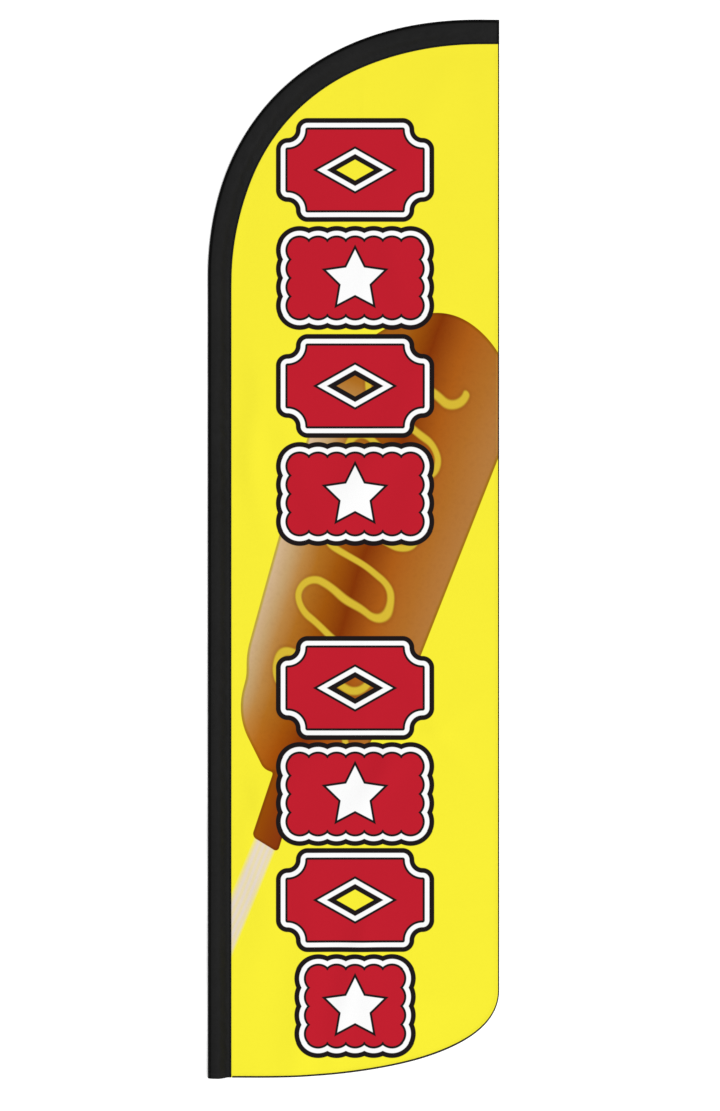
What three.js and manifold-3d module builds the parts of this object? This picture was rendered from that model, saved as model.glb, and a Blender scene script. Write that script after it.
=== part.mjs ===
// A feather flag, laid flat on the ground with its printed side up. A cloth panel hangs, in use, from a
// sleeve that takes a tapered pole: the sleeve runs up the straight edge and over the curved top, where its
// end is sewn shut. The panel's two free edges have a folded hem and a bead of overlocked thread.
//
// Millimetres. +Z is up, +Y points to the flag's top, +X to its free edge. The origin is on the ground, at
// the middle of the flag's length and width.
import * as THREE from "three";
import { mergeVertices } from "three/addons/utils/BufferGeometryUtils.js";
import Module from "manifold-3d";

const wasm = await Module();
wasm.setup();

// The flag's outline.
const flagWidth = 965.2;
const flagLength = 3505.2;
const left = -flagWidth / 2;
const right = flagWidth / 2;
const top = flagLength / 2;
const bottom = -flagLength / 2;
const topCurve = { drop: 852, riseHandle: 524, run: 894, runHandle: 538 };
const bottomCurve = { rise: 291, fallHandle: 220, run: 172, runHandle: 362 };

// Cloth.
const panelThickness = 1.5;
const hemWidth = 12;
const hemThickness = 0.8;
const sleeveWall = 1.2;
const gap = 0.3;

// The sleeve: a folded strip, open at its mouth, whose front ply laps over the panel's edge. It is wider
// round the curve, and its front ply stands up in a low arch that sinks towards the tip.
const sleeveWidth = { straight: 78, curve: 86.6, tip: 81 };
const widening = { startsBeforeCurve: 60, length: 400 };
const narrowingLength = 500;
const lapWidth = 12;
const archHeight = { mouth: 31, curveStart: 23, tip: 13, sewnEnd: 4 };
const tipTaper = 60;
const tipSeam = 26;
const cutPastMouth = 5;

// The arch in cross-section: its turning points and the handles of its curves, as shares of the tube's
// width, measured from the fold, or of the arch's height.
const arch = {
  crestAcross: 0.46,
  foldUp: 0.38,
  footAcross: 0.1,
  seamHandle: { across: 0.8, up: 0.22 },
  crestHandles: { towardsSeam: 0.72, towardsFold: 0.18 },
  foldHandles: { above: 0.74, below: 0.14 },
  footHandle: 0.03,
};

// The bead of thread along the free edges.
const beadWidth = 2.5;
const beadHeight = 2.4;

// How finely the curves are cut.
const straightSteps = 6;
const topCurveSteps = 26;
const tipSteps = 4;
const bottomCurveSteps = 20;
const crestSteps = 5;
const foldSteps = 3;

const lapUnderside = panelThickness + gap;
const lapTop = lapUnderside + sleeveWall;

// ---- Outline paths, both running clockwise round the flag, so that the cloth lies to their right ----

function point(x, y) {
  return new THREE.Vector2(x, y);
}

// Points of a curve with the direction that points into the cloth.
function stationsOf(curve, steps) {
  const stations = [];
  for (let i = 0; i <= steps; i++) {
    const tangent = curve.getTangentAt(i / steps);
    stations.push({ at: curve.getPointAt(i / steps), inward: point(tangent.y, -tangent.x) });
  }
  return stations;
}

// Joins runs of stations into one path and notes how far along it each one is.
function joined(runs) {
  const path = runs.flatMap((run, i) => (i ? run.slice(1) : run));
  path[0].along = 0;
  for (let i = 1; i < path.length; i++) {
    path[i].along = path[i - 1].along + path[i].at.distanceTo(path[i - 1].at);
  }
  return path;
}

function poleEdge() {
  const curveStart = point(left, top - topCurve.drop);
  const curveEnd = point(left + topCurve.run, top);
  const taperStart = point(right - tipTaper, top);
  const curve = new THREE.CubicBezierCurve(
    curveStart,
    point(left, curveStart.y + topCurve.riseHandle),
    point(curveEnd.x - topCurve.runHandle, top),
    curveEnd,
  );
  return joined([
    stationsOf(new THREE.LineCurve(point(left, bottom), curveStart), straightSteps),
    stationsOf(curve, topCurveSteps),
    stationsOf(new THREE.LineCurve(curveEnd, taperStart), 1),
    stationsOf(new THREE.LineCurve(taperStart, point(right, top)), tipSteps),
  ]);
}

function freeEdge(fromHeight, toLeft) {
  const curveStart = point(right, bottom + bottomCurve.rise);
  const curveEnd = point(left + bottomCurve.run, bottom);
  const curve = new THREE.CubicBezierCurve(
    curveStart,
    point(right, curveStart.y - bottomCurve.fallHandle),
    point(curveEnd.x + bottomCurve.runHandle, bottom),
    curveEnd,
  );
  return joined([
    stationsOf(new THREE.LineCurve(point(right, fromHeight), curveStart), 1),
    stationsOf(curve, bottomCurveSteps),
    stationsOf(new THREE.LineCurve(curveEnd, point(toLeft, bottom)), 1),
  ]);
}

function inset(path, distanceOf) {
  return path.map((s) => s.at.clone().addScaledVector(s.inward, distanceOf(s)));
}

// ---- Solids ----

function solidOf(geometry) {
  const merged = mergeVertices(positionsOnly(geometry), 1e-4);
  return new wasm.Manifold(
    new wasm.Mesh({
      numProp: 3,
      vertProperties: merged.attributes.position.array,
      triVerts: new Uint32Array(merged.index.array),
    }),
  );
}

function positionsOnly(geometry) {
  const bare = geometry.index ? geometry.toNonIndexed() : geometry.clone();
  bare.deleteAttribute("normal");
  bare.deleteAttribute("uv");
  return bare;
}

function geometryOf(solid) {
  const mesh = solid.getMesh();
  const geometry = new THREE.BufferGeometry();
  geometry.setAttribute("position", new THREE.BufferAttribute(mesh.vertProperties, 3));
  geometry.setIndex(new THREE.BufferAttribute(mesh.triVerts, 1));
  const faceted = geometry.toNonIndexed();
  faceted.computeVertexNormals();
  return faceted;
}

// A flat piece of cloth with the given outline, between two heights.
function slab(outline, low, high) {
  const extruded = new THREE.ExtrudeGeometry(new THREE.Shape(outline), {
    depth: high - low,
    bevelEnabled: false,
  });
  return solidOf(extruded.translate(0, 0, low));
}

// A closed solid through cross-sections that all have the same number of corners. Each section holds its
// corners in space and the flat shape that closes the two ends.
function lofted(sections) {
  const corners = sections[0].ring.length;
  const positions = sections.flatMap((section) => section.ring.flatMap((p) => [p.x, p.y, p.z]));
  const faces = [];
  for (let i = 0; i + 1 < sections.length; i++) {
    for (let k = 0; k < corners; k++) {
      const here = i * corners;
      const next = here + corners;
      const after = (k + 1) % corners;
      faces.push(here + k, next + k, here + after);
      faces.push(here + after, next + k, next + after);
    }
  }
  const lastRing = (sections.length - 1) * corners;
  for (const [a, b, c] of THREE.ShapeUtils.triangulateShape(sections[0].flat, [])) {
    faces.push(a, b, c);
  }
  for (const [a, b, c] of THREE.ShapeUtils.triangulateShape(sections.at(-1).flat, [])) {
    faces.push(lastRing + a, lastRing + c, lastRing + b);
  }
  const geometry = new THREE.BufferGeometry();
  geometry.setAttribute("position", new THREE.Float32BufferAttribute(positions, 3));
  geometry.setIndex(faces);
  return solidOf(geometry);
}

// ---- The sleeve ----

// The front ply in cross-section, from the lap seam over the crest and round the fold to its foot on the
// ground. Across is measured from the fold.
function frontPly(tubeWidth, height) {
  const crest = point(tubeWidth * arch.crestAcross, height);
  const fold = point(0, height * arch.foldUp);
  const foot = point(tubeWidth * arch.footAcross, 0);
  const rise = new THREE.CubicBezierCurve(
    point(tubeWidth, lapTop),
    point(tubeWidth * arch.seamHandle.across, lapTop + (height - lapTop) * arch.seamHandle.up),
    point(tubeWidth * arch.crestHandles.towardsSeam, height),
    crest,
  );
  const shoulder = new THREE.CubicBezierCurve(
    crest,
    point(tubeWidth * arch.crestHandles.towardsFold, height),
    point(0, height * arch.foldHandles.above),
    fold,
  );
  const underFold = new THREE.CubicBezierCurve(
    fold,
    point(0, height * arch.foldHandles.below),
    point(tubeWidth * arch.footHandle, 0),
    foot,
  );
  return [
    ...rise.getPoints(crestSteps),
    ...shoulder.getPoints(crestSteps).slice(1),
    ...underFold.getPoints(foldSteps).slice(1),
  ];
}

function outerSection(width, height) {
  const tubeWidth = width - lapWidth;
  return [
    point(width, lapUnderside),
    point(width, lapTop),
    ...frontPly(tubeWidth, height),
    point(tubeWidth, 0),
    point(tubeWidth, lapUnderside),
  ];
}

// The hollow: the front ply moved in by the cloth's thickness, closed along the back ply.
function innerSection(width, height) {
  const ply = frontPly(width - lapWidth, height);
  const moved = [];
  for (let i = 1; i + 1 < ply.length; i++) {
    const along = ply[i + 1].clone().sub(ply[i - 1]).normalize();
    const inside = point(-along.y, along.x).multiplyScalar(sleeveWall);
    moved.push(ply[i].clone().add(inside));
  }
  const seamEnd = moved[0];
  const foldEnd = moved.at(-1);
  return [
    ...moved.slice(0, -1),
    point(Math.max(foldEnd.x, ply.at(-1).x), sleeveWall),
    point(seamEnd.x, sleeveWall),
  ];
}

function placed(station, flat) {
  const ring = flat.map((p) => {
    const at = station.at.clone().addScaledVector(station.inward, p.x);
    return new THREE.Vector3(at.x, at.y, p.y);
  });
  return { ring, flat };
}

const path = poleEdge();
const curveStartAlong = flagLength - topCurve.drop;
const pathLength = path.at(-1).along;
const taperStartAlong = pathLength - tipTaper;

function sleeveWidthAt(along) {
  const { lerp, smoothstep } = THREE.MathUtils;
  const wideningStart = curveStartAlong - widening.startsBeforeCurve;
  const widened = smoothstep(along, wideningStart, wideningStart + widening.length);
  const narrowed = smoothstep(along, pathLength - narrowingLength, pathLength);
  const unnarrowed = lerp(sleeveWidth.straight, sleeveWidth.curve, widened);
  return lerp(unnarrowed, sleeveWidth.tip, narrowed);
}

function archHeightAt(along) {
  const { lerp, inverseLerp } = THREE.MathUtils;
  if (along <= curveStartAlong) {
    return lerp(archHeight.mouth, archHeight.curveStart, along / curveStartAlong);
  }
  if (along <= taperStartAlong) {
    const share = inverseLerp(curveStartAlong, taperStartAlong, along);
    return lerp(archHeight.curveStart, archHeight.tip, share);
  }
  return lerp(archHeight.tip, archHeight.sewnEnd, inverseLerp(taperStartAlong, pathLength, along));
}

function sleeve() {
  const sectionAt = (s, section) => placed(s, section(sleeveWidthAt(s.along), archHeightAt(s.along)));
  const pastTheMouth = { ...path[0], at: path[0].at.clone().add(point(0, -cutPastMouth)) };
  const unsewn = path.filter((s) => s.along <= pathLength - tipSeam);
  const skin = path.map((s) => sectionAt(s, outerSection));
  const hollow = [pastTheMouth, ...unsewn].map((s) => sectionAt(s, innerSection));
  return lofted(skin).subtract(lofted(hollow));
}

// ---- The panel and its edges ----

function panel() {
  const seamEdge = inset(path, (s) => sleeveWidthAt(s.along) - lapWidth + gap);
  const clothEdge = inset(freeEdge(seamEdge.at(-1).y, seamEdge[0].x), () => beadWidth + gap);
  const betweenCorners = seamEdge.slice(1, -1);
  return slab([...betweenCorners, ...clothEdge], 0, panelThickness);
}

// A strip that follows the free edges between two distances from them, clear of the sleeve's lap.
function edgeStrip(from, to, low, high) {
  const fromHeight = top - sleeveWidthAt(pathLength) - gap;
  const toLeft = left + sleeveWidthAt(0) + gap;
  const edge = freeEdge(fromHeight, toLeft);
  const outside = inset(edge, () => from);
  const inside = inset(edge, () => to);
  return slab([...outside, ...inside.reverse()], low, high);
}

function hemmedPanel() {
  const start = beadWidth + gap;
  const intoPanel = panelThickness / 2;
  return panel().add(edgeStrip(start, start + hemWidth, intoPanel, panelThickness + hemThickness));
}

function overlockedEdge() {
  return edgeStrip(0, beadWidth, 0, beadHeight);
}

// ---- The flag ----

function cloth(color, roughness) {
  return new THREE.MeshStandardMaterial({ color, roughness, metalness: 0 });
}

function node(name, solid, material) {
  const mesh = new THREE.Mesh(geometryOf(solid), material);
  mesh.name = name;
  return mesh;
}

const flag = new THREE.Group();
flag.add(node("printed_panel", hemmedPanel(), cloth(0xf9ed3a, 0.7)));
flag.add(node("pole_sleeve", sleeve(), cloth(0x232322, 0.8)));
flag.add(node("edge_overlock", overlockedEdge(), cloth(0x2b2a22, 0.9)));

export default flag;
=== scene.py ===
import math
import random

import bpy
import numpy as np
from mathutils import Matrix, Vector
from mathutils.geometry import delaunay_2d_cdt


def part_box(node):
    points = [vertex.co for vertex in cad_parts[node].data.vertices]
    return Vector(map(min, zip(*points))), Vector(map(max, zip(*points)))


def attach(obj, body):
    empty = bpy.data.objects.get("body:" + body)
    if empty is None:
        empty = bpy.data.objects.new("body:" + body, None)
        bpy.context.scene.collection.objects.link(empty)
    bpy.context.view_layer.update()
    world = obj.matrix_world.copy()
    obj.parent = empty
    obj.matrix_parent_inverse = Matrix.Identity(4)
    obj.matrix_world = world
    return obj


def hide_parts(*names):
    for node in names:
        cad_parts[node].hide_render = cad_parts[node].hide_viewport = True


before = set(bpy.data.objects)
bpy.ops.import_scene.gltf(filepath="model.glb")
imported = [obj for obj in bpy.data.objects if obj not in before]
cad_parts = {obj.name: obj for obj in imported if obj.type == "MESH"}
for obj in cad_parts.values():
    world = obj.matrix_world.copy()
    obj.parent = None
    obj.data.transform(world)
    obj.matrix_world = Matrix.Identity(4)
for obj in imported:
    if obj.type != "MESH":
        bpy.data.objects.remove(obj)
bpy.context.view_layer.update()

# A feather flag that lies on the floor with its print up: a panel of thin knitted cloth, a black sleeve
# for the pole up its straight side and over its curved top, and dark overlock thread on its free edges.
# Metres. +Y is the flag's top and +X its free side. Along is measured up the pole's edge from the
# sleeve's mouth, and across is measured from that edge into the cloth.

bpy.ops.object.select_all(action="DESELECT")


# The camera hangs over the flag and looks straight down.
cameraView = {"lens": 135, "frameHeight": 3.681, "over": (0.0213, -0.0223)}


def addCamera():
    data = bpy.data.cameras.new("camera")
    data.lens = cameraView["lens"]
    distance = cameraView["frameHeight"] * data.lens / data.sensor_width
    data.clip_end = 4 * distance
    camera = bpy.data.objects.new("camera", data)
    camera.location = (*cameraView["over"], distance)
    bpy.context.collection.objects.link(camera)
    bpy.context.scene.camera = camera


addCamera()
print("camera placed")


# The flag's two curves: at the top of its pole edge and at the bottom of its free edge.
outline = {
    "topCurve": {"drop": 0.852, "riseHandle": 0.524, "run": 0.894, "runHandle": 0.538, "points": 400},
    "bottomCurve": {"rise": 0.291, "fallHandle": 0.220, "run": 0.172, "runHandle": 0.362, "points": 300},
}
# The sleeve: its width and height along the pole edge, its section, its waves and where painted shade
# blackens it.
sleeve = {
    "straightWidth": 0.078, "curveWidth": 0.0866, "tipWidth": 0.081, "lap": 0.012, "lapTop": 0.003,
    "wideningStartsBeforeCurve": 0.060, "wideningLength": 0.400, "narrowingLength": 0.500,
    "mouthHeight": 0.031, "curveStartHeight": 0.023, "tipHeight": 0.013, "sewnEndHeight": 0.0034,
    "tipTaper": 0.060, "wall": 0.0009, "backPastSeam": 0.010,
    "spacing": 0.0052,  # between the rings of the mesh
    # The section is a low arch. Its places and handles are shares of the tube's width and height.
    "crestAcross": 0.46, "foldUp": 0.38, "footAcross": 0.10, "footHandle": 0.03,
    "seamHandle": (0.80, 0.22), "crestHandles": (0.72, 0.18), "foldHandles": (0.74, 0.14),
    "points": {"lap": 5, "seamSide": 16, "foldSide": 12, "foot": 7, "back": 7},
    # Waves along the sleeve, each with its depth, pitch and seed. The crest and the fold drift, the arch
    # bulges, slanted folds lie beside the crest, and small gathers lie at the seam.
    "waves": {
        "crestDrift": (0.075, 0.61, 3.0), "foldUpDrift": (0.05, 0.33, 6.0), "bulge": (0.10, 0.37, 1.0),
        "folds": (0.0034, 0.083, 4.0), "gathers": (0.0014, 0.027, 7.0),
    },
    "foldSlant": 0.70, "foldsAt": 0.74, "foldSpread": 0.26, "gatherSpread": 0.13, "gatherLift": 0.00056,
    # On the straight side the folds have a share of their depth. It grows to all of it about the curve's
    # start, between these two distances from there.
    "straightShare": 0.70, "growsFrom": -0.15, "growsTo": 0.25,
    "lowest": 0.4,  # of the crest's height. On the fold's side the folds and gathers stay above it
    "fadeFrom": 0.93,  # of the way across the tube, where the waves begin to fade
    # The cloth is painted near black, as painted shade, at the fold, at the sewn tip and at the lap's edge.
    # Each pair is how far in the black reaches in full, and where it ends.
    "paintedShade": {"fold": (0.0080, 0.0130), "tip": (0.0055, 0.0090), "lap": (0.0050, 0.0095), "lapShare": 0.5},
}
flagLow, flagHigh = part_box("pole_sleeve")  # it reaches all four sides of the flag
left, right = flagLow.x, flagHigh.x
bottom, top = flagLow.y, flagHigh.y


def bezier(start, startHandle, endHandle, end, count):
    t = np.linspace(0, 1, count)[:, None]
    corners = [np.array(p, float) for p in (start, startHandle, endHandle, end)]
    weights = ((1 - t) ** 3, 3 * t * (1 - t) ** 2, 3 * t ** 2 * (1 - t), t ** 3)
    return sum(w * p for w, p in zip(weights, corners))


def lengthsAlong(points):
    steps = np.linalg.norm(np.diff(points, axis=0), axis=1)
    return np.concatenate([[0], np.cumsum(steps)])


class Line:
    # A line cut into even steps. inward points into the cloth, to the right of the line's direction.
    def __init__(self, points, spacing):
        rough = lengthsAlong(points)
        count = max(2, round(rough[-1] / spacing)) + 1
        self.length = float(rough[-1])
        self.along = np.linspace(0, self.length, count)
        self.at = np.stack([np.interp(self.along, rough, points[:, k]) for k in (0, 1)], 1)
        tangent = np.gradient(self.at, self.along, axis=0)
        tangent /= np.linalg.norm(tangent, axis=1)[:, None]
        self.inward = np.stack([tangent[:, 1], -tangent[:, 0]], 1)

    def inset(self, distance):
        return self.at + self.inward * np.reshape(distance, (-1, 1))

    def place(self, along, across):
        # Points at any distances along and across.
        spots = []
        for k in (0, 1):
            start = np.interp(along, self.along, self.at[:, k])
            spots.append(start + np.interp(along, self.along, self.inward[:, k]) * across)
        return np.stack(np.broadcast_arrays(*spots), -1)


def poleLine(spacing):
    curve = outline["topCurve"]
    curveStart = (left, top - curve["drop"])
    curveEnd = (left + curve["run"], top)
    bend = bezier(
        curveStart, (left, curveStart[1] + curve["riseHandle"]),
        (curveEnd[0] - curve["runHandle"], top), curveEnd, curve["points"],
    )
    return Line(np.concatenate([[[left, bottom]], bend, [[right, top]]]), spacing)


def freeLine(fromHeight, toLeft, spacing):
    # Down the free edge and round to the left along the bottom edge.
    curve = outline["bottomCurve"]
    curveStart = (right, bottom + curve["rise"])
    curveEnd = (left + curve["run"], bottom)
    bend = bezier(
        curveStart, (right, curveStart[1] - curve["fallHandle"]),
        (curveEnd[0] + curve["runHandle"], bottom), curveEnd, curve["points"],
    )
    return Line(np.concatenate([[[right, fromHeight]], bend, [[toLeft, bottom]]]), spacing)


def smoothStep(low, high, x):
    share = np.clip((x - low) / (high - low), 0, 1)
    return share * share * (3 - 2 * share)


# Slow waves that shift and swell a quicker one. Each is its depth, its pace and how far a seed moves it.
waveShifts = ((1.3, 0.137, 1.0), (0.7, 0.291, 2.1))
waveSwell = (0.38, 0.083, 1.7)


def ripple(distance, pitch, seed):
    # An uneven wave from -1 to 1.
    turn = 2 * math.pi * distance / pitch
    shift = sum(depth * np.sin(turn * pace + move * seed) for depth, pace, move in waveShifts)
    depth, pace, move = waveSwell
    swell = 1 - depth + depth * np.sin(turn * pace + move * seed)
    return np.sin(turn + shift) * swell


poleEdge = poleLine(sleeve["spacing"])
curveStartAlong = top - bottom - outline["topCurve"]["drop"]


def sleeveWidthAt(along):
    start = curveStartAlong - sleeve["wideningStartsBeforeCurve"]
    widened = smoothStep(start, start + sleeve["wideningLength"], along)
    narrowed = smoothStep(poleEdge.length - sleeve["narrowingLength"], poleEdge.length, along)
    width = sleeve["straightWidth"] + (sleeve["curveWidth"] - sleeve["straightWidth"]) * widened
    return width + (sleeve["tipWidth"] - width) * narrowed


def archHeightAt(along):
    places = (0, curveStartAlong, poleEdge.length - sleeve["tipTaper"], poleEdge.length)
    names = ("mouthHeight", "curveStartHeight", "tipHeight", "sewnEndHeight")
    return np.interp(along, places, [sleeve[name] for name in names])


def freeEdge(ends):
    # From just below the sleeve's tip, down the free edge and round to just beside the sleeve's mouth.
    fromHeight = top - float(sleeveWidthAt(poleEdge.length)) - ends["belowTip"]
    toLeft = left + float(sleeveWidthAt(0)) + ends["besideMouth"]
    return freeLine(fromHeight, toLeft, ends["pathStep"])


def shade(red, green, blue):
    # A display colour from 0 to 255, as the share of light it sends back under this scene's lamps, less
    # the little that a cloth's gloss adds.
    lampLevel, gloss = 1.06, 0.004
    linear = [((c / 255 + 0.055) / 1.055) ** 2.4 if c > 10 else c / 255 / 12.92 for c in (red, green, blue)]
    return (*[max(0.0, c / lampLevel - gloss) for c in linear], 1.0)


class Field:
    # A number, place or colour that varies over the cloth. Arithmetic on it adds Math nodes.
    def __init__(self, tree, socket):
        self.tree, self.socket = tree, socket

    def op(self, operation, *others):
        node = self.tree.nodes.new("ShaderNodeMath")
        node.operation = operation
        for socket, value in zip(node.inputs, (self, *others)):
            plug(value, socket)
        return Field(self.tree, node.outputs[0])

    def __add__(self, other):
        return self.op("ADD", other)

    def __sub__(self, other):
        return self.op("SUBTRACT", other)

    def __rsub__(self, other):
        return -self + other

    def __mul__(self, other):
        return self.op("MULTIPLY", other)

    def __truediv__(self, other):
        return self.op("DIVIDE", other)

    def __neg__(self):
        return self.op("MULTIPLY", -1.0)

    def size(self):
        return self.op("ABSOLUTE")

    def atLeast(self, other):
        return self.op("MAXIMUM", other)

    def atMost(self, other):
        return self.op("MINIMUM", other)

    def above(self, other):
        return self.op("GREATER_THAN", other)

    def wrapped(self, half):
        return self.op("WRAP", half, -half)

    def within(self, low, high):
        return self.atLeast(low).atMost(high)

    def rising(self, low, high):
        # 0 up to low and 1 from high on, with an even rise between them.
        return ((self - low) / (high - low)).within(0.0, 1.0)

    def noise(self, scale, detail=2.0):
        node = self.tree.nodes.new("ShaderNodeTexNoise")
        node.inputs["Scale"].default_value = scale
        node.inputs["Detail"].default_value = detail
        plug(self, node.inputs["Vector"])
        return Field(self.tree, node.outputs["Fac"])

    def mix(self, first, second, way="MIX"):
        # first where this is 0, and second where it is 1. MULTIPLY gives first times second there.
        node = self.tree.nodes.new("ShaderNodeMix")
        node.data_type = "RGBA"
        node.blend_type = way
        plug(self, node.inputs[0])
        plug(first, node.inputs[6])
        plug(second, node.inputs[7])
        return Field(self.tree, node.outputs[2])

    def ramp(self, stops):
        node = self.tree.nodes.new("ShaderNodeValToRGB")
        while len(node.color_ramp.elements) < len(stops):
            node.color_ramp.elements.new(0.5)
        for element, (place, color) in zip(node.color_ramp.elements, stops):
            element.position = place
            element.color = color
        plug(self, node.inputs[0])
        return Field(self.tree, node.outputs[0])


def plug(value, socket):
    if isinstance(value, Field):
        value.tree.links.new(value.socket, socket)
    else:
        socket.default_value = value


def hypot(a, b):
    return (a * a + b * b).op("SQRT")


def blend(share, first, second):
    # first where share is 0 and second where it is 1.
    return share * (second - first) + first


def threadWaves(distance, pitch):
    return (distance * (2 * math.pi / pitch)).op("SINE")


def newMaterial(name, **settings):
    material = bpy.data.materials.new(name)
    material.use_nodes = True
    shader = material.node_tree.nodes["Principled BSDF"]
    for socket, value in settings.items():
        shader.inputs[socket.replace("_", " ")].default_value = value
    return material, material.node_tree, shader


def flatPlace(tree):
    # The place on the flat cloth, in metres, from the piece's own UV map.
    node = tree.nodes.new("ShaderNodeUVMap")
    node.uv_map = "flatCloth"
    split = tree.nodes.new("ShaderNodeSeparateXYZ")
    tree.links.new(node.outputs["UV"], split.inputs[0])
    return [Field(tree, socket) for socket in (node.outputs["UV"], split.outputs["X"], split.outputs["Y"])]


def addBump(shader, height, rise, strength):
    node = height.tree.nodes.new("ShaderNodeBump")
    node.inputs["Strength"].default_value = strength
    node.inputs["Distance"].default_value = rise
    plug(height, node.inputs["Height"])
    height.tree.links.new(node.outputs["Normal"], shader.inputs["Normal"])


# The print: a yellow field, a corn dog that runs off the free edge with its stick under the sleeve, and two
# groups of four red badges. Places are in metres from the flag's middle.
printColors = {
    "fieldTop": shade(248, 236, 57), "fieldBottom": shade(251, 241, 56),
    "red": shade(193, 33, 48), "dark": shade(33, 28, 29), "white": shade(253, 253, 253),
}
cornDog = {
    # Circles along the body, joined by straight sides: top to middle, and low to heel.
    "top": (0.2024, 0.4807), "topRadius": 0.3238, "middle": (-0.0811, -0.3798), "middleRadius": 0.2733,
    "low": (-0.1428, -0.5233), "lowRadius": 0.2308, "heel": (-0.2640, -0.6920), "heelRadius": 0.0470,
    # A wide circle that takes off the left shoulder, placed along and beside the body's axis.
    "shoulder": (0.1673, 0.2372), "shoulderRadius": 0.5523,
    # The collar widens a little towards its end, which is cut askew.
    "collarTop": (-0.2140, -0.7280), "collarEnd": (-0.2941, -0.9790), "collarRadius": 0.0455,
    "collarFlare": 0.013, "collarSkew": 0.25, "collarCorner": 0.016,
    # How softly these parts run into each other.
    "lowJoin": 0.030, "shoulderJoin": 0.070, "collarJoin": 0.018,
    # Colours across the body, from its lit left side to its right, as shares of its width. The lit side
    # fades out between two heights above the top circle's middle, and over the top the colours start at a
    # later share.
    "halfWidth": 0.292, "unevenness": 0.05, "litSideFades": (-0.16, 0.06), "topStartsAt": 0.33,
    "across": (
        (0.00, shade(217, 188, 154)), (0.10, shade(198, 163, 114)), (0.17, shade(188, 136, 72)),
        (0.25, shade(176, 112, 37)), (0.37, shade(160, 87, 18)), (0.50, shade(133, 55, 9)),
        (0.67, shade(173, 94, 27)), (0.84, shade(178, 111, 43)), (1.00, shade(181, 123, 63)),
    ),
    "crust": shade(126, 66, 20), "crustScale": 42.0, "crustDepth": 0.308,
    # What the low end and the rim do to the colour beneath them. The low end is measured on from the middle
    # circle, and the rim from the outline, with less than zero inside it.
    "lowTint": (1.08, 0.88, 0.55, 1.0), "lowBand": (0.20, 0.34),
    "rimTint": (0.78, 0.82, 0.18, 1.0), "rimBand": (-0.0108, -0.0048),
    # The collar's colours run a little way into the body.
    "collarAcross": ((0.0, shade(152, 78, 8)), (0.45, shade(143, 66, 16)), (1.0, shade(136, 56, 20))),
    "runsFromCollar": (-0.045, 0.005), "runsIntoBody": (-0.0245, 0.0105),
}
stick = {
    "end": (-0.4250, -1.2980), "radius": 0.0357, "softness": 0.0120,
    "wood": shade(235, 220, 176), "grain": shade(231, 218, 204), "grainTurns": 330.0, "grainWander": 5.0,
    "edge": shade(236, 222, 130), "edgeBand": (-0.008, 0.0), "edgeShare": 0.35,
}
mustard = {
    # Start and end are at the outer point of a half ring: whole counts of half a pitch.
    "pitch": 0.250, "start": -0.125, "end": 1.125, "reach": 0.092, "slant": 0.30, "drift": 0.014,
    "radius": 0.0132, "softness": 0.005, "wander": 0.034, "wanderScales": (3.1, 4.3),
    "core": shade(216, 186, 55), "rim": shade(184, 142, 42), "rimWidth": 0.0055,
    "shadow": shade(120, 58, 10), "shadowBand": (-0.012, 0.006), "shadowDepth": 0.35,
}
badges = {
    "column": 0.005, "groupSplit": -0.14, "perGroup": 4,
    "upper": {"first": 1.2549, "pitch": 0.3578}, "lower": {"first": -0.4612, "pitch": 0.3512},
    "halfWidth": 0.2236, "halfHeight": 0.1335, "scoop": 0.066, "lozenge": (0.140, 0.079),
    "lobeSpacing": 0.0612, "lobeRadius": 0.040, "starRadius": 0.100, "starWaist": 0.050, "starDrop": 0.006,
    "thinLine": 0.0075, "whiteLine": 0.0150, "darkLine": 0.0162,
}
printSoftness = 0.0016


def coverage(distance, softness=printSoftness):
    # 1 inside a shape and 0 outside, from the distance to its edge.
    return (distance / -softness + 0.5).within(0.0, 1.0)


def axisPlace(x, y, start, end):
    # How far along the line from start to end a place is, how far to that line's left, and its length.
    length = math.dist(start, end)
    ux, uy = (end[0] - start[0]) / length, (end[1] - start[1]) / length
    fromX, fromY = x - start[0], y - start[1]
    return fromX * ux + fromY * uy, fromX * -uy + fromY * ux, length


def taperedCapsule(along, aside, length, startRadius, endRadius):
    # Distance to the outline round two circles of different size.
    lean = (startRadius - endRadius) / length
    upright = math.sqrt(1 - lean * lean)
    turned = along * upright - aside * lean
    middle = aside * upright + along * lean - startRadius
    startCap = hypot(along, aside) - startRadius
    endCap = hypot(along - length, aside) - endRadius
    pastStart = turned.above(0.0)
    pastEnd = turned.above(upright * length)
    return blend(pastEnd, blend(pastStart, startCap, middle), endCap)


def stickLayer(x, y, wander, under):
    along, aside = axisPlace(x, y, cornDog["collarEnd"], stick["end"])[:2]
    outside = aside.size().atLeast(-along) - stick["radius"]
    grain = (aside * stick["grainTurns"] + wander * stick["grainWander"]).op("SINE") * 0.5 + 0.5
    color = grain.mix(stick["wood"], stick["grain"])
    edge = outside.rising(*stick["edgeBand"]) * stick["edgeShare"]
    color = edge.mix(color, stick["edge"])
    return coverage(outside, stick["softness"]).mix(under, color)


def collarDistance(along, aside, length):
    dog = cornDog
    corner = dog["collarCorner"]
    beyondSide = aside.size() - along * dog["collarFlare"] - (dog["collarRadius"] - corner)
    beyondEnd = along - aside * dog["collarSkew"] - (length - corner)
    outside = hypot(beyondSide.atLeast(0.0), beyondEnd.atLeast(0.0)) - corner
    return outside.atLeast(-along)


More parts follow.
